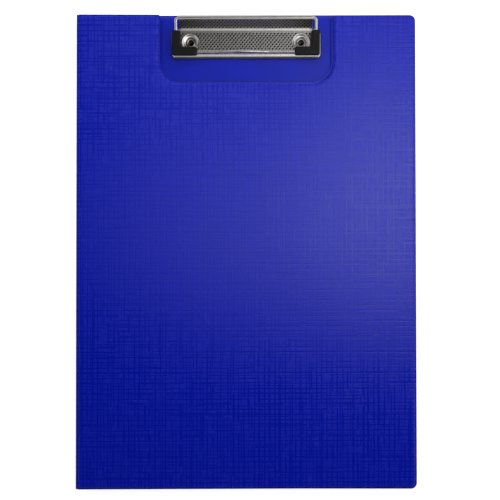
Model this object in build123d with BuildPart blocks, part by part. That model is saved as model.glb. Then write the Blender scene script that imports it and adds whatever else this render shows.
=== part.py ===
from build123d import *
import math
import os

# Fold-over clipboard folder, closed and lying on its back board, in millimetres.
# X runs from the spine to the free edge, Y towards the clip, and Z is up from the table.

# Overall size, to hold A4 sheets
folder_width = 230.0
folder_height = 320.0
back_overhang = 1.0
spine_width = 8.0
spine_bow = 0.4

# Sheet and board thicknesses
skin_thickness = 0.35
lining_thickness = 0.25
back_core_thickness = 2.0
front_core_thickness = 1.6

# Edges: the welded rim, and the corners of the rim and of the boards inside it
weld_width = 1.2
corner_radius = 3.4
spine_corner_radius = 0.8
core_corner_radius = 1.5
shoulder_angle = 45.0
shoulder_softness = 0.5
crease_gap = 0.6
rest_clearance = 0.3

# Cut-out in the front cover, open to the top edge
cutout_width = 115.8
cutout_depth = 45.3
cutout_radius = 13.8
cutout_lip_radius = 2.0
cutout_weld_width = 2.4

# Pocket inside the front cover
pocket_thickness = 0.25
pocket_margin = 1.0
pocket_spine_height = 180.0
pocket_free_height = 120.0
pocket_radius = 4.0

# Clip plate: a shallow pressed tray whose back edge rises into a ramp and rolls over
plate_width = 103.0
plate_front_setback = 29.8
plate_back_setback = 8.6
plate_height = 3.0
plate_thickness = 0.8
plate_corner_radius = 3.5
plate_edge_radius = 1.8
ramp_setback = 8.55
ramp_angle = 60.0
ramp_bend_radius = 2.35
roll_width = 90.0
roll_axle_height = 8.7
roll_wrap = 285.0
dimple_spacing = 75.0
dimple_setback = 18.5
dimple_top_radius = 5.8
dimple_floor_radius = 3.7
dimple_edge_radius = 0.6

# Wire bail and its corner caps
wire_diameter = 2.1
wire_clearance = 0.05
bail_width = 94.8
bail_length = 22.6
bail_end_radius = 2.4
bail_corner_radius = 3.0
bail_journal_length = 14.0
wave_height = 4.2
wave_length = 31.0
wave_crest_length = 7.0
wave_offset = -1.5
wave_bend_radius = 14.0
cap_leg = 16.9
cap_arm_width = 5.7
cap_bar_width = 5.8
cap_outer_wall = 1.4
cap_height = 5.2
cap_corner_radius = 1.4
cap_softness = 0.9

# Tubular rivets, put in from the back and rolled over in the dimples
rivet_head_radius = 4.6
rivet_head_thickness = 0.7
rivet_head_inset = 0.1
rivet_shank_radius = 2.5
rivet_bore_radius = 1.95
rivet_bore_floor = 0.9
rivet_ring_radius = 3.0
rivet_ring_height = 0.75
rivet_softness = 0.3
rivet_clearance = 0.05
recess_clearance = 0.2


def resting_angle(length, half_thickness, height):
    """Angle below level at which a bar of this length and half thickness comes to rest, from a hinge
    this high above its support: length * sin(angle) + half_thickness * cos(angle) = height."""
    lean = math.asin(height / math.hypot(length, half_thickness))
    return math.degrees(lean - math.atan2(half_thickness, length))


# Levels, from the table up, and the inset of both boards inside the folder's rim
back_rise = back_core_thickness / 2
front_rise = front_core_thickness / 2
weld_level = skin_thickness + back_rise
lining_top = weld_level + back_rise + lining_thickness
cover_underside = front_rise + lining_thickness + pocket_thickness
core_inset = weld_width + max(back_rise, front_rise) + skin_thickness / 2

# Creases: the spine stands on the back crease, and the cover leans down from the front one
crease_x = -folder_width / 2 + spine_bow + skin_thickness
cutout_centre = -crease_x
board_length = folder_width / 2 - crease_x
top_edge = folder_height / 2
back_height = folder_height + 2 * back_overhang
front_crease_level = weld_level + spine_width
cover_drop = front_crease_level - lining_top - rest_clearance
cover_lean = resting_angle(board_length - weld_width, cover_underside, cover_drop)

back_plane = Plane(origin=(crease_x, 0, weld_level))
cover_plane = Plane(origin=(crease_x, 0, front_crease_level)).rotated((0, cover_lean, 0))
cover_up = Axis(cover_plane.origin, cover_plane.z_dir)

# Clip places: the tray, the roll's axle, the bail's own plane and the rivets
plate_front = top_edge - plate_front_setback
plate_top = lining_top + plate_height
ramp_foot = top_edge - ramp_setback
plate_back = top_edge - plate_back_setback
ramp_slope = math.radians(ramp_angle)
wire_radius = wire_diameter / 2
roll_inner_radius = wire_radius + wire_clearance
roll_outer_radius = roll_inner_radius + plate_thickness
roll_middle_radius = roll_inner_radius + plate_thickness / 2
axle_level = lining_top + roll_axle_height
ramp_rise = axle_level + roll_outer_radius * math.cos(ramp_slope) - plate_top
axle_y = ramp_foot + ramp_rise / math.tan(ramp_slope) + roll_outer_radius * math.sin(ramp_slope)
cap_reach = wire_radius + cap_outer_wall
bail_reach = bail_length + cap_reach
bail_lean = resting_angle(bail_reach, cap_height / 2, axle_level - plate_top - rest_clearance)
bail_plane = Plane(origin=(0, axle_y, axle_level)).rotated((bail_lean, 0, 0))
rivet_y = top_edge - dimple_setback
rivet_places = [(-dimple_spacing / 2, rivet_y), (dimple_spacing / 2, rivet_y)]
drill_places = [Plane(origin=(x, y, plate_top)) for x, y in rivet_places]
underside_places = [Plane(origin=(x, y, 0), z_dir=(0, 0, -1)) for x, y in rivet_places]
head_recess_depth = rivet_head_inset + rivet_head_thickness
head_recess_radius = rivet_head_radius + recess_clearance
rivet_hole_radius = rivet_shank_radius + rivet_clearance


def board_outline(plane, inset, corner, spine_corner, height=back_height):
    """Outline of a sheet or board, this far inside the folder's rim, on a plane at its crease."""
    with BuildSketch(plane) as outline:
        with Locations(((board_length + crease_gap) / 2, 0)):
            Rectangle(board_length - crease_gap - 2 * inset, height - 2 * inset)
        fillet(outline.vertices().group_by(Axis.X)[-1], corner)
        fillet(outline.vertices().group_by(Axis.X)[0], spine_corner)
    return outline.sketch


def cover_outline(plane, inset, corner, spine_corner, lip):
    """The same outline for the cover, whose cut-out has a wider weld and corners at the top edge rounded
    by lip."""
    cutout_inset = inset + cutout_weld_width - weld_width if inset > 0 else 0
    with BuildSketch(plane) as outline:
        add(board_outline(Plane.XY, inset, corner, spine_corner, folder_height))
        with Locations((cutout_centre, top_edge)):
            RectangleRounded(cutout_width + 2 * cutout_inset, 2 * (cutout_depth + cutout_inset),
                             cutout_radius + cutout_inset, mode=Mode.SUBTRACT)
        fillet(outline.vertices().group_by(Axis.Y)[-1].sort_by(Axis.X)[1:3], lip)
    return outline.sketch


def inner_corner(inset):
    """Corner radius of a form that lies between the weld and the board's own corner."""
    return core_corner_radius + core_inset - inset


def cavity_inset(sheet):
    """Inset of the hollow under a sheet's slanting shoulder, so that the sheet stays this thick."""
    return weld_width + sheet * math.tan(math.radians(shoulder_angle) / 2)


core_corner = inner_corner(core_inset)
pad_corner = inner_corner(weld_width)
skin_hollow_inset = cavity_inset(skin_thickness)
skin_hollow_corner = inner_corner(skin_hollow_inset)
lining_hollow_inset = cavity_inset(lining_thickness)
lining_hollow_corner = inner_corner(lining_hollow_inset)

# Greyboard of the back board, drilled for the rivets and relieved for their pressed-in heads
with BuildPart() as back_board_core:
    extrude(board_outline(back_plane, core_inset, core_corner, core_corner), amount=back_rise, both=True)
    with Locations(*[place.offset(-skin_thickness) for place in underside_places]):
        CounterBoreHole(rivet_hole_radius, head_recess_radius + skin_thickness, head_recess_depth)
back_board_core.part.label = "back_board_core"

# Embossed outside of the back board: a flat rim, a slanting shoulder and cups for the rivet heads
with BuildPart() as back_outer_skin:
    extrude(board_outline(back_plane, 0, corner_radius, spine_corner_radius), amount=-skin_thickness)
    pad = board_outline(back_plane.offset(-skin_thickness), weld_width, pad_corner, pad_corner)
    extrude(pad, amount=-back_rise, taper=shoulder_angle)
    fillet(edges().group_by(Axis.Z)[0], shoulder_softness)
    hollow = board_outline(back_plane, skin_hollow_inset, skin_hollow_corner, skin_hollow_corner)
    extrude(hollow, amount=-back_rise, taper=shoulder_angle, mode=Mode.SUBTRACT)
    with Locations(*rivet_places):
        Cylinder(head_recess_radius + skin_thickness, head_recess_depth + skin_thickness,
                 align=(Align.CENTER, Align.CENTER, Align.MIN))
    with Locations(*underside_places):
        CounterBoreHole(rivet_hole_radius, head_recess_radius, head_recess_depth)
back_outer_skin.part.label = "back_outer_skin"

# Smooth inside of the back board, with the holes for the rivet shanks
with BuildPart() as back_inner_lining:
    extrude(board_outline(back_plane, 0, corner_radius, spine_corner_radius), amount=lining_thickness)
    pad = board_outline(back_plane.offset(lining_thickness), weld_width, pad_corner, pad_corner)
    extrude(pad, amount=back_rise, taper=shoulder_angle)
    fillet(edges().group_by(Axis.Z)[-1], shoulder_softness)
    hollow = board_outline(back_plane, lining_hollow_inset, lining_hollow_corner, lining_hollow_corner)
    extrude(hollow, amount=back_rise, taper=shoulder_angle, mode=Mode.SUBTRACT)
    with Locations(*drill_places):
        Hole(rivet_hole_radius)
back_inner_lining.part.label = "back_inner_lining"

# Greyboard of the front cover, with the cut-out
with BuildPart() as front_cover_core:
    extrude(cover_outline(cover_plane, core_inset, core_corner, core_corner, core_corner),
            amount=front_rise, both=True)
front_cover_core.part.label = "front_cover_core"

# Embossed outside of the front cover
with BuildPart() as front_outer_skin:
    extrude(cover_outline(cover_plane, 0, corner_radius, spine_corner_radius, cutout_lip_radius),
            amount=skin_thickness)
    pad_plane = cover_plane.offset(skin_thickness)
    extrude(cover_outline(pad_plane, weld_width, pad_corner, pad_corner, pad_corner),
            amount=front_rise, taper=shoulder_angle)
    fillet(edges().group_by(cover_up)[-1], shoulder_softness)
    extrude(cover_outline(cover_plane, skin_hollow_inset, skin_hollow_corner, skin_hollow_corner,
                          skin_hollow_corner),
            amount=front_rise, taper=shoulder_angle, mode=Mode.SUBTRACT)
front_outer_skin.part.label = "front_outer_skin"

# Smooth inside of the front cover
with BuildPart() as front_inner_lining:
    extrude(cover_outline(cover_plane, 0, corner_radius, spine_corner_radius, cutout_lip_radius),
            amount=-lining_thickness)
    pad_plane = cover_plane.offset(-lining_thickness)
    extrude(cover_outline(pad_plane, weld_width, pad_corner, pad_corner, pad_corner),
            amount=-front_rise, taper=shoulder_angle)
    fillet(edges().group_by(cover_up)[0], shoulder_softness)
    extrude(cover_outline(cover_plane, lining_hollow_inset, lining_hollow_corner, lining_hollow_corner,
                          lining_hollow_corner),
            amount=-front_rise, taper=shoulder_angle, mode=Mode.SUBTRACT)
front_inner_lining.part.label = "front_inner_lining"

# Pocket welded inside the front cover, open along its slanting upper edge
with BuildPart() as front_pocket:
    with BuildSketch(cover_plane.offset(-front_rise - lining_thickness)):
        pocket_left = crease_gap + core_inset + pocket_margin
        pocket_right = board_length - core_inset - pocket_margin
        pocket_bottom = -top_edge + core_inset + pocket_margin
        with BuildLine():
            FilletPolyline((pocket_left, pocket_bottom), (pocket_right, pocket_bottom),
                           (pocket_right, pocket_bottom + pocket_free_height),
                           (pocket_left, pocket_bottom + pocket_spine_height),
                           radius=pocket_radius, close=True)
        make_face()
    extrude(amount=-pocket_thickness)
front_pocket.part.label = "front_pocket"


def spine_strip(thickness, side):
    """Section of one spine sheet on the given side of the seam that runs from crease to crease."""
    with BuildSketch(Plane.XZ) as section:
        with BuildLine():
            seam_foot = (crease_x, weld_level + crease_gap)
            seam_top = (crease_x, front_crease_level - crease_gap)
            seam = SagittaArc(seam_foot, seam_top, spine_bow)
            offset(seam, amount=thickness, side=side)
        make_face()
    return section.sketch


# The two plastic sheets between the creases
with BuildPart() as spine_outer_skin:
    extrude(spine_strip(skin_thickness, Side.LEFT), amount=folder_height / 2, both=True)
spine_outer_skin.part.label = "spine_outer_skin"

with BuildPart() as spine_inner_lining:
    extrude(spine_strip(lining_thickness, Side.RIGHT), amount=folder_height / 2, both=True)
spine_inner_lining.part.label = "spine_inner_lining"

# Clip plate, pressed from one steel sheet
with BuildPart() as clip_base_plate:
    with BuildSketch(Plane.XY.offset(lining_top)):
        with Locations((0, (plate_front + plate_back) / 2)):
            RectangleRounded(plate_width, plate_back - plate_front, plate_corner_radius)
    extrude(amount=plate_height)
    fillet(edges().group_by(Axis.Z)[-1], plate_edge_radius)
    offset(amount=-plate_thickness, openings=faces().sort_by(Axis.Z)[0])
    with BuildSketch(Plane.XY.offset(lining_top)):
        with Locations((0, plate_back)):
            Rectangle(roll_width, 2 * plate_edge_radius)
    extrude(amount=plate_height, mode=Mode.SUBTRACT)
    with BuildSketch(Plane.YZ):
        with BuildLine():
            ramp_top = (axle_y - roll_middle_radius * math.sin(ramp_slope),
                        axle_level + roll_middle_radius * math.cos(ramp_slope))
            middle_level = plate_top - plate_thickness / 2
            bend = ramp_foot + plate_thickness / 2 * math.tan(ramp_slope / 2)
            FilletPolyline((ramp_foot - 2 * plate_edge_radius, middle_level), (bend, middle_level), ramp_top,
                           radius=ramp_bend_radius)
            CenterArc((axle_y, axle_level), roll_middle_radius, 90 + ramp_angle, -roll_wrap)
        trace(line_width=plate_thickness)
    extrude(amount=roll_width / 2, both=True)
    with Locations(*[place.offset(-plate_height) for place in drill_places]):
        Cone(dimple_floor_radius + plate_thickness, dimple_top_radius + plate_thickness,
             plate_height - plate_thickness, align=(Align.CENTER, Align.CENTER, Align.MIN))
    with Locations(*[place.offset(plate_thickness - plate_height) for place in drill_places]):
        Cone(dimple_floor_radius, dimple_top_radius, plate_height - plate_thickness,
             align=(Align.CENTER, Align.CENTER, Align.MIN), mode=Mode.SUBTRACT)
    circles = edges().filter_by(GeomType.CIRCLE)
    fillet(circles.filter_by(lambda edge: math.isclose(edge.radius, dimple_top_radius)), dimple_edge_radius)
    with Locations(*drill_places):
        Hole(rivet_hole_radius)
clip_base_plate.part.label = "clip_base_plate"

# Wire bail: one spring wire with both ends in the roll and a finger wave in its front bar
with BuildPart() as wire_bail:
    with BuildLine(bail_plane) as bail_path:
        arm_x = bail_width / 2
        journal_x = roll_width / 2 - bail_journal_length
        FilletPolyline((-journal_x, 0), (-arm_x, 0), (-arm_x, -bail_length),
                       (wave_offset - wave_length / 2, -bail_length),
                       (wave_offset - wave_crest_length / 2, -bail_length, wave_height),
                       (wave_offset + wave_crest_length / 2, -bail_length, wave_height),
                       (wave_offset + wave_length / 2, -bail_length),
                       (arm_x, -bail_length), (arm_x, 0), (journal_x, 0),
                       radius=[bail_end_radius, bail_corner_radius, wave_bend_radius, wave_bend_radius,
                               wave_bend_radius, wave_bend_radius, bail_corner_radius, bail_end_radius])
    with BuildSketch(bail_path.line ^ 0):
        Circle(wire_radius)
    sweep()
wire_bail.part.label = "wire_bail"

# Soft caps moulded round the wire's two front corners, the right one as the left one's mirror image
with BuildPart() as corner_cap_left:
    with BuildSketch(bail_plane.offset(-cap_height / 2)) as cap_plan:
        corner_x = -bail_width / 2 - cap_reach
        corner_y = -bail_length - cap_reach
        with Locations((corner_x + cap_arm_width / 2, corner_y + cap_leg / 2)):
            Rectangle(cap_arm_width, cap_leg)
        with Locations((corner_x + cap_leg / 2, corner_y + cap_bar_width / 2)):
            Rectangle(cap_leg, cap_bar_width)
        fillet(cap_plan.vertices(), cap_corner_radius)
    extrude(amount=cap_height)
    levels = edges().group_by(Axis(bail_plane.origin, bail_plane.z_dir))
    fillet(levels[0] + levels[-1], cap_softness)
    add(wire_bail.part, mode=Mode.SUBTRACT)
corner_cap_left.part.label = "corner_cap_left"

with BuildPart() as corner_cap_right:
    mirror(corner_cap_left.part, about=Plane.YZ)
corner_cap_right.part.label = "corner_cap_right"

# Tubular rivets: flat head underneath, blind bore, and the end rolled outwards over the dimple's floor
rivets = []
for (rivet_x, rivet_y), side_name in zip(rivet_places, ("left", "right")):
    with BuildPart() as rivet:
        seat = lining_top + plate_thickness
        ring_top = seat + rivet_ring_height
        head_top = head_recess_depth
        bore_floor = rivet_head_inset + rivet_bore_floor
        with BuildSketch(Plane(origin=(rivet_x, rivet_y, 0), x_dir=(1, 0, 0), z_dir=(0, -1, 0))):
            with BuildLine():
                Polyline((0, rivet_head_inset), (rivet_head_radius, rivet_head_inset),
                         (rivet_head_radius, head_top), (rivet_shank_radius, head_top),
                         (rivet_shank_radius, seat), (rivet_ring_radius, seat),
                         (rivet_ring_radius, ring_top), (rivet_bore_radius, ring_top),
                         (rivet_bore_radius, bore_floor), (0, bore_floor), close=True)
            make_face()
        revolve(axis=Axis((rivet_x, rivet_y, 0), (0, 0, 1)))
        fillet(edges().filter_by(GeomType.CIRCLE).group_by(Axis.Z)[-1], rivet_softness)
    rivet.part.label = f"rivet_{side_name}"
    rivets.append(rivet)

os.makedirs("parts", exist_ok=True)
for piece in (back_outer_skin, back_board_core, back_inner_lining, clip_base_plate, *rivets,
              spine_outer_skin, spine_inner_lining,
              front_outer_skin, front_cover_core, front_inner_lining, front_pocket,
              wire_bail, corner_cap_left, corner_cap_right):
    export_step(piece.part, f"parts/{piece.part.label}.step")
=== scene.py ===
# %% [markdown]
# # Dressing a fold-over clipboard folder
#
# The solids from the CAD model are the frame of this picture. They say where every sheet, rivet and
# wire is, so no piece here is placed by eye. What is added is what the eye sees: the pressed pattern
# in the plastic, the knurled steel, the soft caps, the light and the camera.
# Lengths are written in millimetres, and become metres at the moment a mesh is made.

# %% Load the frame
import math

import bpy
import numpy as np
from mathutils.geometry import tessellate_polygon
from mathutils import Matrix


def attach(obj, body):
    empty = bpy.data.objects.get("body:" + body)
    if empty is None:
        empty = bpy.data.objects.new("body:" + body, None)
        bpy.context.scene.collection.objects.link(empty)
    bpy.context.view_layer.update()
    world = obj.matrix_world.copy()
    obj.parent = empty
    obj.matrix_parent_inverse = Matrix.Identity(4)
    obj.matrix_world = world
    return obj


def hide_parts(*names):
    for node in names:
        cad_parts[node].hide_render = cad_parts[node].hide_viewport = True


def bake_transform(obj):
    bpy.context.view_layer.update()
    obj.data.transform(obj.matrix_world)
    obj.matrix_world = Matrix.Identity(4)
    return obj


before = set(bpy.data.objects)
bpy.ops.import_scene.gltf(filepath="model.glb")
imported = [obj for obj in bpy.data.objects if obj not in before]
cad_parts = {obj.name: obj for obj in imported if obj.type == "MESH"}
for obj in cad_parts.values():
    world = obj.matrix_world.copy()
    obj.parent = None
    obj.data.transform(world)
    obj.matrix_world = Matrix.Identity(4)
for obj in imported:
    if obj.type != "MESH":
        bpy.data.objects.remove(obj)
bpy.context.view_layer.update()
MM = 0.001
print("CAD nodes:", ", ".join(sorted(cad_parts)))

# %% [markdown]
# ## The camera
# The folder was photographed from straight above with a longish lens. Its outline in the picture is a
# little narrower at the top, so the camera was tilted by a degree. Distance, tilt and focal length were
# solved once from the folder's corners, the cut-out and the rivets, and are written here as plain values.

# %% Camera
camera_place = (7.5, -12.4, 700.0)
camera_turn = (0.0187, 0.0071, -0.0009)
focal_length = 73.93

camera_data = bpy.data.cameras.new("camera")
camera_data.lens = focal_length
camera_data.sensor_width = 36.0
camera_data.clip_start, camera_data.clip_end = 0.01, 50.0
camera = bpy.data.objects.new("camera", camera_data)
camera.location = [value * MM for value in camera_place]
camera.rotation_euler = camera_turn
bpy.context.scene.collection.objects.link(camera)
bpy.context.scene.camera = camera
print("Camera at", tuple(round(value, 4) for value in camera.location), "m, lens", focal_length, "mm")

# %% [markdown]
# ## A small language for materials
# A shader is a graph of nodes, but a pattern is easier to read as arithmetic. Value wraps one output of
# a node, and an expression such as 1 - mask * 0.5 adds the Math nodes that it needs. Graph holds the
# nodes of one material or world, and its method node() adds any other kind of node.

# %% Value and Graph
class Value:
    """One output of a shader node. Arithmetic on it adds Math nodes to the same graph."""

    def __init__(self, graph, socket):
        self.graph, self.socket = graph, socket

    def math(self, operation, *numbers):
        return self.graph.math(operation, self, *numbers)

    def __add__(self, other):
        return self.math("ADD", other)

    def __sub__(self, other):
        return self.math("SUBTRACT", other)

    def __mul__(self, other):
        return self.math("MULTIPLY", other)

    def __truediv__(self, other):
        return self.math("DIVIDE", other)

    def __rsub__(self, other):
        return self.graph.math("SUBTRACT", other, self)

    __radd__, __rmul__ = __add__, __mul__


class Graph:
    """The nodes of one material or world."""

    def __init__(self, tree):
        self.tree = tree

    def node(self, kind, settings=(), sockets=(), output=0):
        """Adds a node, sets its settings, then fills its sockets with numbers or Values."""
        node = self.tree.nodes.new(kind)
        for name, setting in dict(settings).items():
            setattr(node, name, setting)
        self.fill(node, sockets)
        return Value(self, node.outputs[output])

    def fill(self, node, sockets):
        for name, content in dict(sockets).items():
            if isinstance(content, Value):
                self.tree.links.new(content.socket, node.inputs[name])
            else:
                node.inputs[name].default_value = content

    def math(self, operation, *numbers):
        return self.node("ShaderNodeMath", {"operation": operation}, dict(enumerate(numbers)))

    def parts(self, vector):
        """The x, y and z of a vector, as three Values."""
        apart = self.node("ShaderNodeSeparateXYZ", sockets={0: vector}).socket.node
        return [Value(self, apart.outputs[axis]) for axis in range(3)]

    def place(self):
        """The x, y and z of a point on the piece, in millimetres, as three Values."""
        return [part / MM for part in self.parts(self.node("ShaderNodeTexCoord", output="Object"))]

    def vector(self, x, y, z=0.0):
        return self.node("ShaderNodeCombineXYZ", sockets={0: x, 1: y, 2: z})

    def noise(self, vector, scale=1.0, detail=2.0, roughness=0.5):
        """Soft noise from 0 to 1 whose features are about 1 / scale of the vector's units across."""
        return self.node("ShaderNodeTexNoise", {"noise_dimensions": "3D"},
                         {"Vector": vector, "Scale": scale, "Detail": detail, "Roughness": roughness})

    def rise(self, value, start, end, low=0.0, high=1.0):
        """Smooth step: low where value is under start, high where it is over end."""
        return self.node("ShaderNodeMapRange", {"interpolation_type": "SMOOTHSTEP"},
                         {"Value": value, "From Min": start, "From Max": end, "To Min": low, "To Max": high})

    def blend(self, factor, first, second):
        """Colour that goes from first to second as factor goes from 0 to 1."""
        return self.node("ShaderNodeMix", {"data_type": "RGBA"},
                         {"Factor": factor, "A": self.colour(first), "B": self.colour(second)}, output=2)

    def colour(self, content):
        return content if isinstance(content, Value) else (*content, 1.0)

    def bump(self, height, depth):
        """Normal of a surface whose relief is height, from 0 to 1, times depth in millimetres."""
        return self.node("ShaderNodeBump",
                         sockets={"Height": height, "Strength": 1.0, "Distance": depth * MM})

    def mesh_value(self, name):
        """The number that each point of the mesh carries under this name, or 0 where it has none."""
        return self.node("ShaderNodeAttribute", {"attribute_name": name}, output="Fac")

# %% Recipe, a graph that ends in one material
class Recipe(Graph):
    """One material with a Principled shader, and the nodes that feed it."""

    def __init__(self, name):
        self.material = bpy.data.materials.new(name)
        self.material.use_nodes = True
        super().__init__(self.material.node_tree)
        self.shader = self.tree.nodes["Principled BSDF"]

    def finish(self, **sockets):
        """Fills the shader's sockets, named with underscores for spaces, and gives the material."""
        for name, content in sockets.items():
            content = self.colour(content) if "Color" in name else content
            self.fill(self.shader, {name.replace("_", " "): content})
        print(f"Material {self.material.name}: {len(self.tree.nodes)} nodes")
        return self.material


def darker(colour, share):
    """The colour with this share of its brightness."""
    return [part * share for part in colour]


# %% [markdown]
# ## Embossed plastic
# The outside of the folder is calendered plastic sheet, pressed with a linen pattern: patches of short
# strokes two to four millimetres apart, some across and some along. A stroke could be cut into the mesh,
# but at a twentieth of a millimetre deep it only bends the light, so it is a bump. A coarse and a fine set
# of strokes lie over each other. Each row of strokes has its own number, and a noise that reads this
# number and the place along the row turns the strokes on and off. The bottom of a stroke is smoother than
# the land beside it, so it is light where it mirrors a lamp and dark where it mirrors the ceiling.

# %% Stroke pattern
folder_blue = (0.001, 0.010, 0.482)
coarse_strokes, fine_strokes = (3.5, 1.5, 12.0, 1.0), (2.3, 1.2, 8.0, 0.9)
emboss_depth = 0.05
stroke_start, stroke_full = 0.28, 0.42
wander_length, wander_reach = 14.0, 0.7
weight_length, weight_seed = 30.0, 9.0
row_step, weight_step = 3.7, 2.3
patch_width, patch_height = 9.0, 6.5
upright_seed = 20.0
land_roughness, stroke_polish, weld_roughness = 0.39, 0.25, 0.8


def strokes(recipe, across, along, patch, seed):
    """Strokes along one direction, 1 in the middle of a deep one and 0 on the land, from two sets, each
    given as pitch, width, length and share of the depth.
    A row's number is the place across divided by the pitch, rounded down, and a slow noise lets the rows
    wander. A stroke is on where noise over (place along / length, row) plus the share of the patch is high,
    a second noise sets its depth, and its profile falls from the row's middle to half its width beside it."""
    slow = recipe.vector(along / wander_length, across / wander_length, seed)
    wander = recipe.noise(slow, detail=1.0) - 0.5
    deepest = 0.0
    for pitch, width, length, share in (coarse_strokes, fine_strokes):
        rows = (across + wander * wander_reach) / pitch
        row = rows.math("FLOOR")
        own = recipe.noise(recipe.vector(along / length, row * row_step, seed + pitch), detail=0.0)
        weight = recipe.vector(along / weight_length, row * weight_step, seed + weight_seed + pitch)
        deep = recipe.rise(recipe.noise(weight, detail=0.0), 0.35, 0.6, 0.5 * share, share)
        middle = (rows - row - 0.5).math("ABSOLUTE") * pitch
        cut = recipe.rise(own + patch, stroke_start, stroke_full) * deep
        cut = cut * recipe.rise(middle, width * 0.55, width * 0.1)
        deepest = cut.math("MAXIMUM", deepest)
    return deepest

# %% Embossed plastic
def embossed_plastic(name, across_axis):
    """Blue plastic with the stroke pattern, read along Y and along the axis that the sheet spans. Level
    strokes fill some patches and upright ones the others, and a stroke's colour is a little darker, painted
    shade in its groove. Where the mesh has a value named weld, the colour is darker, painted shade round
    the cut-out, and the plastic is duller."""
    recipe = Recipe(name)
    place = recipe.place()
    wide, high = place[across_axis], place[1]
    patch = (recipe.noise(recipe.vector(wide / patch_width, high / patch_height), detail=1.0) - 0.5) * 0.5
    level = strokes(recipe, high, wide, patch, 0.0)
    upright = strokes(recipe, wide, high, patch * -1.0, upright_seed)
    groove = level.math("MAXIMUM", upright)
    grain = recipe.noise(recipe.vector(wide, high, place[0]), scale=4.0, detail=3.0)
    cloud = recipe.noise(recipe.vector(wide, high, place[0]), scale=0.03, detail=2.0)
    weld = recipe.mesh_value("weld")
    # Painted shade: the grooves of the strokes get a darker colour.
    tone = recipe.blend(groove, folder_blue, darker(folder_blue, 0.86))
    tone = recipe.blend(recipe.rise(cloud, 0.35, 0.7, 0.0, 0.12), tone, darker(folder_blue, 0.8))
    # Painted shade: the colour is darker where the mesh's weld value is set, along the cut-out's rim and band
    # floor.
    tone = recipe.blend(weld, tone, darker(folder_blue, 0.5))
    relief = 1.0 - groove + grain * 0.12
    roughness = land_roughness - groove * stroke_polish + grain * 0.02
    return recipe.finish(Base_Color=tone, Roughness=roughness * (1.0 - weld) + weld * weld_roughness,
                         Normal=recipe.bump(relief, emboss_depth), Specular_IOR_Level=0.5)


embossed = embossed_plastic("embossed_pvc", 0)
embossed_spine = embossed_plastic("embossed_pvc_spine", 2)

# %% [markdown]
# ## Smooth plastic, board, metal and rubber
# The lining is the same plastic without the pattern: it has only a fine grain. The greyboard inside is
# recycled pulp with fibres and specks. The clip is nickel plate with painted shade: its colour is dark in
# the pits of the knurl and in the rivets' bores, and it is smoother where the sheet was drawn. The caps
# are black soft plastic with a fine matt grain.

# %% Lining and pocket
def smooth_plastic(name, colour, roughness, grain_depth):
    """Plastic with a fine grain, this deep in millimetres, and slow waves in its tone and surface."""
    recipe = Recipe(name)
    x, y, z = recipe.place()
    grain = recipe.noise(recipe.vector(x, y, z), scale=3.2, detail=3.0)
    wave = recipe.noise(recipe.vector(x, y, z), scale=0.045, detail=2.0)
    tone = recipe.blend(recipe.rise(wave, 0.3, 0.7), colour, darker(colour, 0.86))
    return recipe.finish(Base_Color=tone, Roughness=roughness + grain * 0.1,
                         Normal=recipe.bump(grain + wave * 0.5, grain_depth), Specular_IOR_Level=0.5)


lining = smooth_plastic("lining_pvc", (0.001, 0.012, 0.48), 0.28, 0.012)
pocket = smooth_plastic("pocket_pvc", (0.001, 0.012, 0.44), 0.20, 0.008)

# %% Greyboard
def pulp_board():
    """Grey pulp with fibres along X and a few dark specks."""
    recipe = Recipe("greyboard")
    x, y, z = recipe.place()
    fibre = recipe.noise(recipe.vector(x * 0.25, y * 1.6, z * 2.0), scale=2.0, detail=5.0)
    speck = recipe.noise(recipe.vector(x, y, z), scale=2.4, detail=1.0)
    tone = recipe.blend(recipe.rise(fibre, 0.35, 0.7), (0.30, 0.27, 0.23), (0.21, 0.19, 0.165))
    tone = recipe.blend(recipe.rise(speck, 0.68, 0.74), tone, (0.07, 0.06, 0.055))
    return recipe.finish(Base_Color=tone, Roughness=0.86 + speck * 0.08, Normal=recipe.bump(fibre, 0.05))


greyboard = pulp_board()

# %% Nickel
def nickel(name, roughness, tint, marks, shaded_pits=False):
    """Nickel plate with rubbing marks along X, this deep in millimetres. Where the mesh has a value named
    pit its colour is dark, a painted shade for the knurl's pits and the rivets' bores, and where it has one
    named drawn it is smoother."""
    recipe = Recipe(name)
    x, y, z = recipe.place()
    haze = recipe.noise(recipe.vector(x * 0.4, y, z), scale=1.1, detail=4.0)
    spots = recipe.noise(recipe.vector(x, y, z), scale=0.35, detail=2.0)
    tone = recipe.blend(recipe.rise(spots, 0.35, 0.75), tint, darker(tint, 0.88))
    dulled = haze * 0.10 + roughness
    if shaded_pits:
        # Painted shade: the metal's colour goes dark where the mesh's pit value is high, in the knurl's pits
        # and the rivets' bores.
        tone = recipe.blend(recipe.rise(recipe.mesh_value("pit"), 0.12, 0.45), tone, (0.035, 0.03, 0.03))
        dulled = dulled - recipe.mesh_value("drawn") * 0.2
    return recipe.finish(Base_Color=tone, Metallic=1.0, Roughness=dulled, Normal=recipe.bump(haze, marks))


plate_nickel = nickel("nickel_plate", 0.31, (0.75, 0.72, 0.70), 0.0012, shaded_pits=True)
wire_nickel = nickel("nickel_wire", 0.22, (0.78, 0.75, 0.73), 0.0002)
rivet_nickel = nickel("rivet_metal", 0.12, (0.78, 0.75, 0.71), 0.0004, shaded_pits=True)

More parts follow.
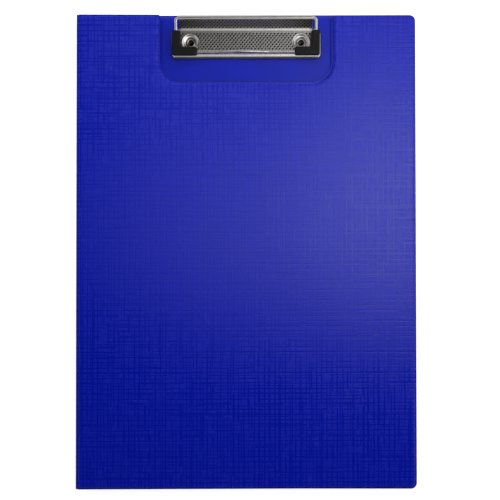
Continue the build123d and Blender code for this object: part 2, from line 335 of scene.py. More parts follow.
# %% Black caps
def cap_plastic():
    """Black soft plastic with a matt grain and a little dust."""
    recipe = Recipe("cap_rubber")
    x, y, z = recipe.place()
    grain = recipe.noise(recipe.vector(x, y, z), scale=6.0, detail=2.0)
    dust = recipe.noise(recipe.vector(x, y, z), scale=0.6, detail=3.0)
    tone = recipe.blend(recipe.rise(dust, 0.45, 0.8), (0.006, 0.006, 0.0065), (0.014, 0.014, 0.015))
    return recipe.finish(Base_Color=tone, Roughness=0.50 + grain * 0.12, Normal=recipe.bump(grain, 0.03),
                         Specular_IOR_Level=0.22)


black_plastic = cap_plastic()

# %% [markdown]
# ## Tools for shapes
# Every new shape is a grid of points: rows of a section carried along, or rings one inside the other.
# Whole arrays are computed at once, and one function makes them a mesh.

# %% Faces and pieces
def ring_quads(count, around):
    """Quads between neighbouring closed rings, where point j of ring i is number i * around + j."""
    i, j = np.meshgrid(np.arange(count - 1), np.arange(around), indexing="ij")
    here, beside = i * around + j, i * around + (j + 1) % around
    return np.stack([here, beside, beside + around, here + around], -1).reshape(-1, 4)


def sheet_quads(numbers):
    """Quads between the neighbours in a grid of point numbers."""
    quads = np.stack([numbers[:-1, :-1], numbers[1:, :-1], numbers[1:, 1:], numbers[:-1, 1:]], -1)
    return quads.reshape(-1, 4)


def flipped(quads, faces):
    """The same faces, looking the other way."""
    return quads[:, ::-1], [face[::-1] for face in faces]


def make_piece(name, points, quads, faces=(), smooth_angle=40.0):
    """Mesh object from points in millimetres, rows of four point numbers and lists of longer faces."""
    mesh = bpy.data.meshes.new(name)
    all_faces = np.asarray(quads).tolist() + [list(face) for face in faces]
    mesh.from_pydata((np.asarray(points) * MM).tolist(), [], all_faces)
    mesh.validate()
    mesh.shade_smooth()
    mesh.set_sharp_from_angle(angle=math.radians(smooth_angle))
    piece = bpy.data.objects.new(name, mesh)
    bpy.context.scene.collection.objects.link(piece)
    print(f"{name}: {len(mesh.vertices)} points, {len(mesh.polygons)} faces")
    return piece


def note(piece, name, values):
    """Gives each point of a piece a number, under a name that its material reads."""
    attribute = piece.data.attributes.new(name, "FLOAT", "POINT")
    attribute.data.foreach_set("value", np.asarray(values, np.float32))


def dress(piece, material, body, node):
    """Gives a piece its material and its body, and hides the CAD node it stands for."""
    piece.data.materials.append(material)
    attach(piece, body)
    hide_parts(node)
    return piece

# %% Rounded paths
def unit(vectors):
    """The same directions, each made one long."""
    return vectors / np.linalg.norm(vectors, axis=-1, keepdims=True)


def rounded_path(corners, radii, steps=7, closed=False):
    """Points along straight runs whose corners are rounded, in any number of dimensions.
    At a corner with unit directions a before and b after and turn t, the arc starts radius * tan(t / 2)
    before the corner, and point s of it is start + radius * (a * sin(s t) + side * (1 - cos(s t))), where
    side is the part of b square to a, made one long."""
    corners, radii = np.asarray(corners, float), np.asarray(radii, float)
    middle = corners if closed else corners[1:-1]
    before = np.roll(corners, 1, 0) if closed else corners[:-2]
    after = np.roll(corners, -1, 0) if closed else corners[2:]
    a, b = unit(middle - before), unit(after - middle)
    turn = np.arccos(np.clip((a * b).sum(-1), -1, 1))
    side = unit(b - a * (a * b).sum(-1, keepdims=True))
    start = middle - a * (radii * np.tan(turn / 2))[:, None]
    angle = turn[:, None] * np.linspace(0, 1, steps)
    ahead, aside = radii[:, None] * np.sin(angle), radii[:, None] * (1 - np.cos(angle))
    points = start[:, None] + a[:, None] * ahead[..., None] + side[:, None] * aside[..., None]
    points = points.reshape(-1, corners.shape[1])
    return points if closed else np.vstack([corners[:1], points, corners[-1:]])

# %% Stacked rings and drilled holes
def stacked_rings(rings):
    """Closed solid from rings with the same number of points: neighbours are joined by quads, and the
    first and last ring are closed by one face each."""
    rings = np.asarray(rings)
    count, around = rings.shape[:2]
    ends = [np.arange(around)[::-1], (count - 1) * around + np.arange(around)]
    return rings.reshape(-1, 3), ring_quads(count, around), ends


def drilled_ends(rings, holes, segments=40):
    """The points, wall quads and end triangles of round holes through the two end faces of stacked rings,
    which lie flat, the first one on top. holes lists (x, y, radius). Each end is cut into triangles
    between its outline and its holes, and a wall joins the two circles of a hole."""
    around, total, drilled = rings.shape[1], rings.shape[0] * rings.shape[1], len(holes) * segments
    angle = np.linspace(0, 2 * np.pi, segments, endpoint=False)
    circle = np.column_stack([np.cos(angle), np.sin(angle)])
    added, walls, triangles = [], [], []
    for end, (ring, first) in enumerate(((rings[0], 0), (rings[-1], total - around))):
        circles = [np.column_stack([circle * radius + (x, y), np.full(segments, ring[0, 2])])
                   for x, y, radius in holes]
        numbers = np.append(first + np.arange(around), total + end * drilled + np.arange(drilled))
        cut = np.array(tessellate_polygon([[tuple(point) for point in loop] for loop in [ring] + circles]))
        corner = np.concatenate([ring] + circles)[cut]
        up = np.cross(corner[:, 1] - corner[:, 0], corner[:, 2] - corner[:, 0])[:, 2:] > 0
        triangles.append(numbers[np.where(up == (end == 0), cut, cut[:, ::-1])])
        added += circles
    for number in range(len(holes)):
        top = total + number * segments + np.arange(segments)
        beside = np.roll(top, -1)
        walls.append(np.column_stack([top, beside, beside + drilled, top + drilled]))
    return np.vstack(added), np.vstack(walls), np.vstack(triangles)


# %% [markdown]
# ## The front cover
# The cover is two plastic sheets welded round a sheet of board. Its rim is flat, with the pressed band
# that the welding bar leaves, and inside it the sheet climbs over the board's edge in a soft shoulder.
# A flat plate with a bevel would lose that band and the shoulder's curve, so the cover is a stack of
# rings. Each ring is the folder's outline at one inset and one height, and the cut-out is part of it.
# Round the cut-out the plastic's colour is darker, a painted shade on its rim at the left and the bottom
# and on the floor of the pressed band at the right, and the plastic there is duller.

# %% Sizes of the folder, as in the CAD model
folder_width, folder_height = 230.0, 320.0
skin_thickness, lining_thickness = 0.35, 0.25
back_rise, front_rise = 1.0, 0.8
weld_width, cutout_weld_width, corner_radius, spine_corner_radius = 1.2, 2.4, 3.4, 0.8
core_inset, core_corner_radius = 2.375, 1.5
crease_gap, spine_width, spine_bow = 0.6, 8.0, 0.4
cutout_width, cutout_depth, cutout_radius, cutout_lip_radius = 115.8, 45.3, 13.8, 2.0
crease_x = -folder_width / 2 + spine_bow + skin_thickness
weld_level = skin_thickness + back_rise
lining_top = weld_level + back_rise + lining_thickness
front_crease_level = weld_level + spine_width
board_length = folder_width / 2 - crease_x
cover_lean = math.radians(1.301)
top_edge, back_overhang = folder_height / 2, 1.0
rivet_spacing, rivet_y, rivet_hole_radius = 75.0, top_edge - 18.5, 2.55
print("Folder:", folder_width, "by", folder_height, "mm, creases at x", round(crease_x, 2))

# %% Sizes of the welded rim
shoulder_points, shoulder_power, shoulder_gap = 11, 0.6, 0.05
band_inner, band_outer, band_wall = weld_width - 0.12, 0.35, 0.1
rim_edge = ((0.12, 0.0), (0.03, 0.05), (0.0, 0.14))
hollow_slope, hollow_margin, board_clearance, top_margin = 0.42, 0.2, 0.03, 0.6
band_floor_rings, rim_rings = (13, 14), (16, 17, 18, 19)
rim_shade_margin = 3.0
print("Pressed band:", round(band_inner - band_outer, 2), "mm wide")

# %% Outline and rings of a leaf
def leaf_outline(inset, with_cutout):
    """Outline of one leaf in its own plane, this far inside its rim, measured from the crease line.
    The corner radii go from those of the rim to those of the board as the inset goes to the board's. The
    leaf with the cut-out is the cover, whose weld is wider there, and the other one overhangs it."""
    share = min(inset / weld_width, 1.0)
    inside = core_corner_radius + core_inset - max(inset, weld_width)
    outer, near, lip = (radius + (inside - radius) * share
                        for radius in (corner_radius, spine_corner_radius, cutout_lip_radius))
    low, high = crease_gap + inset, board_length - inset
    top = top_edge - inset if with_cutout else top_edge + back_overhang - inset
    corners, radii = [(low, -top), (high, -top), (high, top)], [near, outer, outer]
    if with_cutout:
        deep = inset + share * (cutout_weld_width - weld_width)
        left, right = -crease_x - cutout_width / 2 - deep, -crease_x + cutout_width / 2 + deep
        floor = top_edge - cutout_depth - deep
        corners += [(right, top), (right, floor), (left, floor), (left, top)]
        radii += [lip, cutout_radius + deep, cutout_radius + deep, lip]
    return rounded_path(corners + [(low, top)], radii + [near], closed=True)


def leaf_shell(sheet, rise, with_cutout, side, bead=0.15):
    """Rings of one welded sheet: along its outside from the board's edge over the shoulder and the weld
    to the rim, and back along its inside. side is 1 for a sheet above the weld and -1 for one below, and
    bead is how deep the band is pressed. Rings 13 and 14 are the band's floor, 16 to 19 are the rim, and
    ring 0, which lies on the flat top, keeps the top's shading even.
    The shoulder is a quarter of a superellipse, which keeps close to the board:
    inset = foot + reach * (1 - cos(t) ** 0.6), height = rise * sin(t) ** 0.6."""
    t = np.radians(np.linspace(90, 0, shoulder_points))
    reach = core_inset - weld_width - shoulder_gap
    top = [(core_inset + top_margin, sheet + rise)]
    shoulder = np.column_stack([weld_width + reach * (1 - np.cos(t).clip(0) ** shoulder_power),
                                sheet + rise * np.sin(t) ** shoulder_power])
    band = [(band_inner, sheet), (band_inner - band_wall, sheet - bead),
            (band_outer + band_wall, sheet - bead), (band_outer, sheet)]
    rim = [(inset, sheet - drop) for inset, drop in rim_edge] + [(0, 0)]
    hollow = [(weld_width + sheet * hollow_slope, 0), (core_inset - hollow_margin, rise - board_clearance),
              (core_inset + hollow_margin, rise)]
    steps = np.vstack([top, shoulder, band, rim, hollow])
    rings = []
    for inset, height in steps:
        outline = leaf_outline(inset, with_cutout)
        rings.append(np.column_stack([outline, np.full(len(outline), side * height)]))
    return np.array(rings)[:, ::side]

# %% From a leaf's own plane to its place
def on_cover(points):
    """From the cover's own plane, which leans down from the front crease, to the folder's frame."""
    u, y, w = np.moveaxis(points, -1, 0)
    return np.stack([crease_x + u * math.cos(cover_lean) + w * math.sin(cover_lean), y,
                     front_crease_level - u * math.sin(cover_lean) + w * math.cos(cover_lean)], -1)


def on_back(points):
    """From the back board's own plane to the folder's frame."""
    return points + (crease_x, 0, weld_level)


def add_leaf(name, shell, place, material, body, node, holes=()):
    """One welded sheet, put in its place, as the piece that stands for its CAD node."""
    points, quads, faces = stacked_rings(shell)
    quads, faces = flipped(quads, faces)
    if holes:
        added, walls, faces = drilled_ends(shell, holes)
        points, quads = np.vstack([points, added]), np.vstack([quads, walls])
    return dress(make_piece(name, place(points), quads, faces), material, body, node)


# %% Cover skin and linings
cover_shell = leaf_shell(skin_thickness, front_rise, True, 1)
cover_skin = add_leaf("cover_skin", cover_shell, on_cover,
                      embossed, "front_cover", "front_outer_skin")
# The weld value marks where shade is painted round the cut-out: its rim at the left and the bottom, and the
# floor of the pressed band at the right.
from_middle = cover_shell[..., 0] + crease_x
near_cutout = np.abs(from_middle) < cutout_width / 2 + rim_shade_margin
near_cutout &= cover_shell[..., 1] > top_edge - cutout_depth - rim_shade_margin
at_right = from_middle > cutout_width / 2 - cutout_radius / 2
ring_number = np.arange(len(cover_shell))[:, None]
on_floor, on_rim = np.isin(ring_number, band_floor_rings), np.isin(ring_number, rim_rings)
note(cover_skin, "weld", (near_cutout & np.where(at_right, on_floor, on_rim)).ravel())
add_leaf("cover_lining", leaf_shell(lining_thickness, front_rise, True, -1, bead=0.03), on_cover,
         lining, "front_cover", "front_inner_lining")
add_leaf("back_lining", leaf_shell(lining_thickness, back_rise, False, 1, bead=0.03), on_back,
         lining, "back_board", "back_inner_lining",
         holes=[(side * rivet_spacing / 2 - crease_x, rivet_y, rivet_hole_radius) for side in (-1, 1)])

# %% [markdown]
# ## Sheets that keep their CAD shape
# The back skin, the spine, the boards and the pocket already have the right form, so they only get
# their finish. A CAD mesh isn't changed, and its materials read Object coordinates.

# %% Finish the CAD nodes
cad_finishes = {
    "back_outer_skin": embossed, "spine_outer_skin": embossed_spine, "spine_inner_lining": lining,
    "back_board_core": greyboard, "front_cover_core": greyboard, "front_pocket": pocket,
    "corner_cap_left": black_plastic, "corner_cap_right": black_plastic,
}
for node_name, material in cad_finishes.items():
    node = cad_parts[node_name]
    node.data.materials.clear()
    node.data.materials.append(material)
print("Finished", len(cad_finishes), "CAD nodes")

# %% [markdown]
# ## The creases
# Between the sheets of a leaf and those of the spine the real plastic runs on as one fold. Each fold is
# a quarter of a ring from the flat leaf to the upright spine.

# %% Folds along the spine
fold_points, fold_rings, fold_reach = 9, 41, top_edge - 0.3


def fold_strip(name, level, turn):
    """Quarter ring with its centre one gap away from the crease, extruded along Y. Its inside radius is
    the gap minus the lining and its outside radius the gap plus the skin. turn is 1 for the fold at the
    back board and -1 for the one at the cover."""
    angle = np.radians(np.linspace(0, 90, fold_points))
    radius = np.repeat([crease_gap + skin_thickness, crease_gap - lining_thickness], fold_points)
    sweep = np.concatenate([angle, angle[::-1]])
    x = crease_x + crease_gap - radius * np.sin(sweep)
    z = level + turn * (crease_gap - radius * np.cos(sweep))
    places = np.linspace(-fold_reach, fold_reach, fold_rings)
    points, quads, faces = stacked_rings([np.column_stack([x, np.full(len(x), y), z]) for y in places])
    if turn < 0:
        quads, faces = flipped(quads, faces)
    piece = make_piece(name, points, quads, faces)
    piece.data.materials.append(embossed_spine)
    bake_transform(piece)


fold_strip("back_fold", weld_level, 1)
fold_strip("front_fold", front_crease_level, -1)

# %% [markdown]
# ## The clip plate
# A steel blank 0.8 mm thick, rolled with a diamond knurl, is pressed into a shallow tray. Its back edge
# rises in a ramp and curls over into the roll that holds the wire. The knurl is coarse enough to see, so
# it is in the mesh: a grid fine enough for every pit, with its edges shared by the flange strips and by
# the ramp. The sheet's thickness is added by a Solidify modifier at the end.
# The sizes are those of the CAD model, except that the flange's corners and the ramp's bend are gentler
# here, 4.1 and 4.6 mm instead of 3.5 and 2.35, because the light draws them as wide bright bands.

# %% Sizes of the clip
plate_width, plate_front, plate_back = 103.0, top_edge - 29.8, top_edge - 8.6
plate_top, plate_thickness, plate_corner_radius = lining_top + 3.0, 0.8, 4.1
flange_reach, flange_reach_back, flange_drop = 4.0, 2.7, plate_top - lining_top
reach_change_start, reach_change_end = top_edge - 15.0, top_edge - 11.0
ramp_foot, ramp_slope, ramp_bend_radius = top_edge - 8.55, math.radians(60.0), 4.6
roll_width, roll_wrap = 90.0, math.radians(285.0)
wire_radius, wire_clearance = 1.05, 0.05
roll_outer_radius = wire_radius + wire_clearance + plate_thickness
axle_level = lining_top + 8.7
ramp_rise = axle_level + roll_outer_radius * math.cos(ramp_slope) - plate_top
axle_y = ramp_foot + ramp_rise / math.tan(ramp_slope) + roll_outer_radius * math.sin(ramp_slope)
dimple_x, dimple_y = rivet_spacing / 2, rivet_y
dimple_depth = plate_top - lining_top - plate_thickness
rivet_end_radius, dimple_rim_radius, plate_hole_radius = 3.0, 6.0, 2.9
bowl_share, step_start, step_end = 0.6, 3.15, 3.7
knurl_pitch_x, knurl_pitch_y, knurl_depth = 2.4, 2.9, 0.24
drawn_radius, knurl_radius, flange_drawn = 6.2, 6.8, 0.6
knurl_fade, back_margin = 0.4, 0.2
bend_margin, ramp_fade, crest_margin = 1.4, 0.8, 2.4
grid_step, edge_tolerance, flange_steps = 0.3, 0.01, 12
bend_points, climb_points, roll_points = 6, 20, 34
print("Axle of the wire at y", round(axle_y, 2), "and z", round(axle_level, 2))

# %% Knurl and dimple
def knurl(x, run):
    """Depth of the knurl from 0 on its ridges to 1 in a pit, at x and at the distance run along the sheet.
    u = x / pitch_x + run / pitch_y and v = x / pitch_x - run / pitch_y are whole numbers in every pit, and
    the depth is the square of cos(pi u) * cos(pi v), which is zero along the diagonal ridges."""
    u, v = x / knurl_pitch_x + run / knurl_pitch_y, x / knurl_pitch_x - run / knurl_pitch_y
    return (np.cos(np.pi * u) * np.cos(np.pi * v)) ** 2


def smoothstep(value, start, end):
    """0 before start and 1 after end, and 3 t ** 2 - 2 t ** 3 while t goes from 0 to 1 between them."""
    t = np.clip((value - start) / (end - start), 0, 1)
    return t * t * (3 - 2 * t)


def bowl(radius):
    """Depth of a dimple from 0 on the flat to 1 on its floor. An outer bowl, 1 - s ** 1.5 with s going from
    0 at the rivet to 1 at the rim, has three fifths of the depth, and a short smooth step round the rivet
    has the rest."""
    s = np.clip((radius - rivet_end_radius) / (dimple_rim_radius - rivet_end_radius), 0, 1)
    step = 1 - smoothstep(radius, step_start, step_end)
    return bowl_share * (1 - s ** 1.5) + (1 - bowl_share) * step

# %% Outline of the tray
def reach_at(y):
    """How far the flange runs outwards while it bends down: far at the front and sides, less at the back."""
    front_share = 1 - smoothstep(y, reach_change_start, reach_change_end)
    return flange_reach_back + (flange_reach - flange_reach_back) * front_share


def straight_side(low, high):
    """Places from low to high and the turn of the outward direction at each, in radians: an eighth of a
    circle at the first place, none on the way, and an eighth at the last place."""
    places = np.linspace(low, high, int((high - low) / grid_step) + 1)
    eighth = np.radians(np.linspace(-45, 0, 5))[:-1]
    return (np.concatenate([np.full(len(eighth), low), places, np.full(len(eighth), high)]),
            np.concatenate([eighth, np.zeros(len(places)), -eighth[::-1]]))


def tray_sides():
    """Front, right, back and left side of the tray's flat top, a rounded rectangle split in the middle of
    each corner arc. A side is its points, the outward directions at them and the flange's reach there:
    point = centre + (corner radius - reach) * outward."""
    centre_x = plate_width / 2 - plate_corner_radius
    centre_low, centre_high = plate_front + plate_corner_radius, plate_back - plate_corner_radius
    x, turn_x = straight_side(-centre_x, centre_x)
    y, turn_y = straight_side(centre_low, centre_high)
    forward = np.column_stack([np.sin(turn_x), -np.cos(turn_x)])
    rightward = np.column_stack([np.cos(turn_y), np.sin(turn_y)])
    sides = []
    for centre, outward in (((x, centre_low), forward), ((centre_x, y), rightward),
                            ((x, centre_high), forward * (1, -1)), ((-centre_x, y), rightward * (-1, 1))):
        centre = np.stack(np.broadcast_arrays(*centre), -1)
        reach = reach_at(centre[:, 1:] + plate_corner_radius * outward[:, 1:])
        sides.append((centre + (plate_corner_radius - reach) * outward, outward, reach))
    return sides


def coons_patch(front, right, back, left):
    """Grid between four sides that meet at their ends. A point is the sum of the two ways to go between
    facing sides, minus the same thing worked out from the corners alone:
    (1 - v) front + v back + (1 - u) left + u right - corners."""
    u = np.linspace(0, 1, len(front))[:, None, None]
    v = np.linspace(0, 1, len(left))[None, :, None]
    level = (1 - v) * front[:, None] + v * back[:, None]
    upright = (1 - u) * left[None] + u * right[None]
    corners = (1 - u) * ((1 - v) * front[0] + v * back[0]) + u * ((1 - v) * front[-1] + v * back[-1])
    return level + upright - corners


# %% The flat with its knurl and dimples
sides = tray_sides()
flat = coons_patch(*[points for points, outward, reach in sides])
flat_x, flat_y = flat[..., 0], flat[..., 1]
columns, rows = flat.shape[:2]
from_dimple = np.hypot(np.abs(flat_x) - dimple_x, flat_y - dimple_y)
drawn = 1 - smoothstep(from_dimple, drawn_radius, knurl_radius)
knurl_front, knurl_back = plate_front + flange_reach, plate_back - flange_reach_back - back_margin
knurl_side = plate_width / 2 - flange_reach
flat_pit = knurl(flat_x, flat_y - plate_front) * (1 - drawn)
flat_pit *= smoothstep(flat_y, knurl_front, knurl_front + knurl_fade)
flat_pit *= 1 - smoothstep(np.abs(flat_x), knurl_side - knurl_fade, knurl_side)
flat_pit *= 1 - smoothstep(flat_y, knurl_back - knurl_fade, knurl_back)
flat_z = plate_top - knurl_depth * flat_pit - dimple_depth * bowl(from_dimple)
print("Knurled flat:", columns, "by", rows, "points,", round(float(flat_pit.mean()), 2), "of it in pits")

# %% The ramp and the roll
def ramp_section():
    """Top line of the section from the flat's back edge through the bend and the ramp and round the roll,
    as (y, z) pairs, and the distance run along the sheet at each. The bend is an arc of radius bend - half
    a sheet, and the roll one of its outer radius about the axle, from the ramp's direction over the top."""
    middle = plate_top - plate_thickness / 2
    corner = ramp_foot + plate_thickness / 2 * math.tan(ramp_slope / 2)
    bend_y = corner - ramp_bend_radius * math.tan(ramp_slope / 2)
    t = np.linspace(0, ramp_slope, bend_points)
    inner = ramp_bend_radius - plate_thickness / 2
    bend = np.column_stack([bend_y + inner * np.sin(t), middle + ramp_bend_radius - inner * np.cos(t)])
    t = math.pi / 2 + ramp_slope - np.linspace(0, roll_wrap, roll_points)
    roll = (axle_y, axle_level) + roll_outer_radius * np.column_stack([np.cos(t), np.sin(t)])
    climb = bend[-1] + (roll[0] - bend[-1]) * np.linspace(0, 1, climb_points)[1:-1, None]
    section = np.vstack([bend, climb, roll])
    run = np.concatenate([[0], np.cumsum(np.linalg.norm(np.diff(section, axis=0), axis=1))])
    return section, run + bend_y - plate_front


section, run = ramp_section()
back_row = flat[:, -1]
ramp_columns = np.flatnonzero(np.abs(back_row[:, 0]) <= roll_width / 2 + edge_tolerance)
ramp_x = back_row[ramp_columns, 0]
tangent = unit(np.gradient(section, axis=0))
upward = np.column_stack([-tangent[:, 1], tangent[:, 0]])
crest_start = run[np.argmax(section[:, 1])] - crest_margin
ramp_pit = knurl(ramp_x[:, None], run[None]) * (1 - smoothstep(run, crest_start, crest_start + ramp_fade))
ramp_pit *= smoothstep(run - run[0], bend_margin, bend_margin + ramp_fade)
ramp_yz = section[None] - upward[None] * (knurl_depth * ramp_pit)[..., None]
ramp_across = np.broadcast_to(ramp_x[:, None, None], ramp_pit.shape + (1,))
ramp_points = np.concatenate([ramp_across, ramp_yz], -1)
print("Ramp and roll:", ramp_points.shape[0], "by", ramp_points.shape[1], "points")

# %% The flange round the tray
def flange_strip(edge, outward, reach, level):
    """Lines of the flange from the flat's edge, each a quarter of an ellipse out and down to the rim.
    Point = edge + outward * reach * sin t, at level * cos t - drop * (1 - cos t) above the plate's top,
    where level is that of the edge."""
    t = np.radians(np.linspace(0, 90, flange_steps + 1))[1:]
    spread = edge[:, None] + outward[:, None] * reach[:, None] * np.sin(t)[None, :, None]
    height = level[:, None] * np.cos(t) + plate_top - flange_drop * (1 - np.cos(t))
    return np.concatenate([spread, height[..., None]], -1)


def round_the_tray(part):
    """One part of every side, each without its last point, in the order of the loop round the tray: along
    the front and up the right side, then back along the back and down the left side."""
    front, right, back, left = [side[part] for side in sides]
    return np.concatenate([front[:-1], right[:-1], back[:0:-1], left[:0:-1]])


number = np.arange(columns * rows).reshape(columns, rows)
loop = np.concatenate([number[:-1, 0], number[-1, :-1], number[:0:-1, -1], number[0, :0:-1]])
flat_points = np.concatenate([flat, flat_z[..., None]], -1).reshape(-1, 3)
edge = flat_points[loop]
flange = flange_strip(edge[:, :2], round_the_tray(1), round_the_tray(2), edge[:, 2] - plate_top)
flange_size = len(loop) * flange_steps
lines = np.column_stack([loop, flat_z.size + np.arange(flange_size).reshape(len(loop), -1)])
beside = np.roll(lines, -1, 0)
flange_quads = np.stack([lines[:, :-1], lines[:, 1:], beside[:, 1:], beside[:, :-1]], -1)
at_ramp = (edge[:, 1] > dimple_y) & (np.abs(edge[:, 0]) <= roll_width / 2 + grid_step)
flange_quads = flange_quads[~(at_ramp & np.roll(at_ramp, -1))].reshape(-1, 4)
print("Flange:", len(flange_quads), "faces round the tray")

# %% Put the plate together
ramp_numbers = flat_z.size + flange_size + np.arange(ramp_pit.size).reshape(ramp_pit.shape)
ramp_quads = sheet_quads(np.column_stack([number[ramp_columns, -1], ramp_numbers]))
flat_quads = sheet_quads(number)
open_hole = from_dimple.ravel()[flat_quads].max(1) < plate_hole_radius
plate_points = np.vstack([flat_points, flange.reshape(-1, 3), ramp_points.reshape(-1, 3)])
plate_quads = np.vstack([flat_quads[~open_hole], flange_quads, ramp_quads])
used, plate_quads = np.unique(plate_quads, return_inverse=True)
# The pit values paint shade into the knurl's pits: the material darkens the metal's colour there.
pit_shade_values = np.concatenate([flat_pit.ravel(), np.zeros(flange_size), ramp_pit.ravel()])
drawn_values = np.concatenate([drawn.ravel(), np.full(flange_size, flange_drawn), np.zeros(ramp_pit.size)])
plate = make_piece("clip_plate", plate_points[used], plate_quads.reshape(-1, 4), smooth_angle=60.0)
note(plate, "pit", pit_shade_values[used])
note(plate, "drawn", drawn_values[used])
thickness = plate.modifiers.new("sheet", "SOLIDIFY")
thickness.thickness, thickness.offset, thickness.use_even_offset = plate_thickness * MM, -1.0, True
dress(plate, plate_nickel, "back_board", "clip_base_plate")

# %% [markdown]
# ## The rivets
# A tubular rivet goes in from the back. Its open end is rolled outwards over the dimple's floor, which
# leaves a bright ring round a dark bore. A rivet is round, so its section is turned about its own axis.
# The bore's points carry the value pit, which darkens the metal's colour there: painted shade in the bore.

# %% Rivets
head_radius, head_low, head_high, shank_radius = 4.6, 0.1, 0.8, 2.5
bore_radius, bore_floor = 1.95, 1.0
roll_base, roll_height = 0.12, 0.63


def turned_section(section, centre, segments=64):
    """Grid of a section, as (radius, height) pairs, turned about an upright axis at the centre."""
    angle = np.linspace(0, 2 * np.pi, segments, endpoint=False)
    radius, height = section.T
    x = centre[0] + radius[:, None] * np.cos(angle)
    y = centre[1] + radius[:, None] * np.sin(angle)
    return np.stack([x, y, np.broadcast_to(height[:, None], x.shape)], -1)


def rivet_section():
    """From the middle of the head underneath, round the head, up the shank, over the rolled end and down
    the bore to its floor. The rolled end is a half ellipse from its outside to the bore."""
    seat = lining_top + plate_thickness
    t = np.radians(np.linspace(0, 180, 15))
    middle, half = (rivet_end_radius + bore_radius) / 2, (rivet_end_radius - bore_radius) / 2
    head = [(0.05, head_low), (head_radius - 0.4, head_low), (head_radius - 0.1, head_low + 0.06),
            (head_radius, head_low + 0.2), (head_radius, head_high)]
    shank = [(shank_radius, head_high), (shank_radius, seat), (rivet_end_radius - 0.05, seat)]
    roll = np.column_stack([middle + half * np.cos(t), seat + roll_base + roll_height * np.sin(t)])
    bore = [(bore_radius - 0.02, seat - 0.3), (bore_radius - 0.07, bore_floor + 0.15),
            (bore_radius - 0.25, bore_floor), (0.05, bore_floor)]
    return np.vstack([head, shank, roll, bore])


for side_name, rivet_x in (("left", -dimple_x), ("right", dimple_x)):
    points, quads, faces = stacked_rings(turned_section(rivet_section(), (rivet_x, dimple_y)))
    rivet = make_piece(f"rivet_{side_name}_ring", points, quads, faces)
    from_axis = np.hypot(points[:, 0] - rivet_x, points[:, 1] - dimple_y)
    # Painted shade: the value pit darkens the bore's colour.
    note(rivet, "pit", (from_axis < bore_radius - 0.01) & (points[:, 2] > bore_floor - 0.1))
    dress(rivet, rivet_nickel, "back_board", f"rivet_{side_name}")

# %% [markdown]
# ## The wire
# One length of spring wire is bent into a bail: both ends turn in the roll, and the bar across the front
# has a low wave for a finger. A circle is carried along the same runs and bends as in the CAD model.

# %% Wire bail
bail_lean = math.radians(6.4557)
bail_width, bail_length, journal_length = 94.8, 22.6, 14.0
axle_bend, corner_bend, wave_bend = 2.4, 3.0, 14.0
wave_offset, wave_length, wave_crest, wave_height = -1.5, 31.0, 7.0, 4.2


def on_bail(points):
    """From the bail's own plane, which leans down from the axle, to the folder's frame."""
    x, v, w = np.moveaxis(points, -1, 0)
    return np.stack([x, axle_y + v * math.cos(bail_lean) - w * math.sin(bail_lean),
                     axle_level + v * math.sin(bail_lean) + w * math.cos(bail_lean)], -1)


def tube(path, radius, sides):
    """Rings round a path that never runs along Z. At each point, side = Z x tangent and
    top = tangent x side, and the ring is path + radius * (side * cos t + top * sin t)."""
    tangent = unit(np.gradient(path, axis=0))
    side = unit(np.cross((0.0, 0.0, 1.0), tangent))
    top = np.cross(tangent, side)
    t = np.linspace(0, 2 * np.pi, sides, endpoint=False)[None, :, None]
    return path[:, None] + radius * (side[:, None] * np.cos(t) + top[:, None] * np.sin(t))


arm_x, journal_x = bail_width / 2, roll_width / 2 - journal_length
left_arm = [(-journal_x, 0, 0), (-arm_x, 0, 0), (-arm_x, -bail_length, 0)]
right_arm = [(arm_x, -bail_length, 0), (arm_x, 0, 0), (journal_x, 0, 0)]
wave = [(wave_offset + along / 2, -bail_length, height) for along, height in (
    (-wave_length, 0), (-wave_crest, wave_height), (wave_crest, wave_height), (wave_length, 0))]
bail_path = rounded_path(left_arm + wave + right_arm,
                         [axle_bend, corner_bend] + [wave_bend] * 4 + [corner_bend, axle_bend], steps=12)
wire = make_piece("bail_wire", *stacked_rings(on_bail(tube(bail_path, wire_radius, 24))))
dress(wire, wire_nickel, "wire_bail", "wire_bail")

# %% [markdown]
# ## Floor, light and background
# The folder lies on a white sheet. The key light is a large soft box beyond the top edge. It only lights
# matt surfaces, because its mirror image would burn out the metal. Two soft lights overhead fade to
# nothing at their edges, and their mirror image is the wide pale sheen at the right of the cover. Each
# wall of the studio is bright near the horizon, so the bends in the metal shine, and the ceiling is dim,
# so the plastic keeps its deep colour where it mirrors the ceiling. Seen or mirrored, the sheet on the
# floor shines a little by itself, so it stays white where the lamps don't reach.

# %% Floor
floor_half, floor_level = 20000.0, -0.02
floor = make_piece("floor", [(x * floor_half, y * floor_half, floor_level)
                             for x, y in ((-1, -1), (1, -1), (1, 1), (-1, 1))], [(0, 1, 2, 3)])
paper = Recipe("floor_paper")
rays = paper.node("ShaderNodeLightPath").socket.node.outputs
seen, mirrored, through = [Value(paper, rays[f"Is {kind} Ray"])
                           for kind in ("Camera", "Glossy", "Transmission")]
lift = paper.blend(seen.math("MAXIMUM", through), (0.0, 0.0, 0.0), (0.8, 0.8, 0.8))
floor.data.materials.append(paper.finish(Base_Color=(0.93, 0.93, 0.93), Roughness=0.9, Specular_IOR_Level=0.1,
                                         Emission_Color=lift, Emission_Strength=1.0))
glow = paper.node("ShaderNodeEmission", sockets={"Color": (0.85, 0.85, 0.85, 1.0), "Strength": 1.0})
lit = Value(paper, paper.shader.outputs["BSDF"])
both = paper.node("ShaderNodeMixShader", sockets={0: mirrored, 1: lit, 2: glow})
paper.fill(paper.tree.nodes["Material Output"], {"Surface": both})

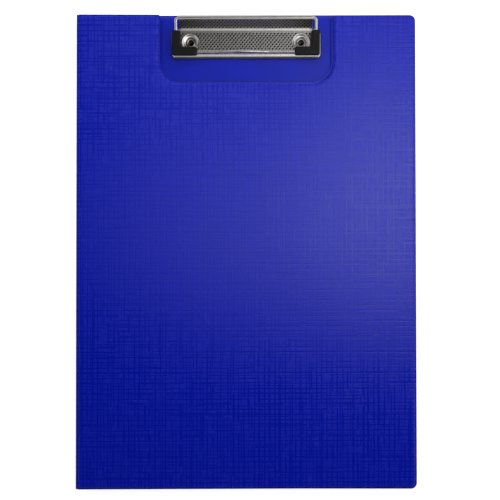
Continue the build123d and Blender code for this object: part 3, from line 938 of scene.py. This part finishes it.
# %% Lamps
def soft_box(name, place, target, size, power, shape="RECTANGLE", mirrored=True):
    """Area lamp of this size in millimetres, turned to look at the target. A lamp that isn't mirrored lights
    matt surfaces and makes no highlight."""
    lamp = bpy.data.lights.new(name, "AREA")
    lamp.shape, lamp.size, lamp.size_y, lamp.energy = shape, size[0] * MM, size[1] * MM, power
    lamp_object = bpy.data.objects.new(name, lamp)
    x, y, z = np.subtract(place, target)
    lamp_object.location = [value * MM for value in place]
    lamp_object.rotation_euler = (math.atan2(math.hypot(x, y), z), 0.0, math.atan2(x, -y))
    lamp_object.visible_glossy, lamp_object.visible_camera = mirrored, False
    bpy.context.scene.collection.objects.link(lamp_object)


def soft_glow(name, centre, reach, peak, height):
    """A soft light straight above, peak bright in the middle and fading smoothly to nothing at its reach. It
    is four ellipses one inside the other, each a quarter of the peak bright, at the shares of the reach where
    a smooth step passes 1/8, 3/8, 5/8 and 7/8. An even ellipse has the power pi * brightness * area."""
    for step, share in enumerate((0.22, 0.42, 0.58, 0.78)):
        size = [2 * share * length for length in reach]
        power = math.pi * peak / 4 * math.pi / 4 * size[0] * size[1] * MM ** 2
        soft_box(f"{name}_{step}", (*centre, height + step * 0.1), (*centre, 0.0), size, power, "ELLIPSE")


soft_box("key", (-10.0, 292.0, 380.0), (0.0, 0.0, 0.0), (300.0, 300.0), 0.88, mirrored=False)
soft_glow("sheen_right", (173.0, 93.0), (162.0, 258.0), 1.43, 300.0)
soft_glow("sheen_middle", (102.0, 40.0), (345.0, 178.0), 1.07, 301.0)
print("Lamps:", ", ".join(lamp.name for lamp in bpy.data.lights))

# %% Studio
world = bpy.data.worlds.new("studio")
world.use_nodes = True
bpy.context.scene.world = world
studio = Graph(world.node_tree)
east, north = studio.parts(studio.node("ShaderNodeTexCoord", output="Generated"))[:2]
west, south = east * -1.0, north * -1.0
walls = 0.0
for side, start, full, bright in ((north, 0.62, 0.85, 0.9), (east, 0.55, 0.85, 0.95),
                                  (west, 0.35, 0.85, 0.5), (south, 0.3, 0.5, 0.3), (south, 0.6, 0.8, -0.25)):
    walls = walls + studio.rise(side, start, full, 0.0, bright)
studio.fill(world.node_tree.nodes["Background"], {"Color": walls.math("MINIMUM", 1.0), "Strength": 1.0})
print("Studio: bright walls and a dim ceiling")

bpy.context.scene.view_settings.view_transform = "Standard"
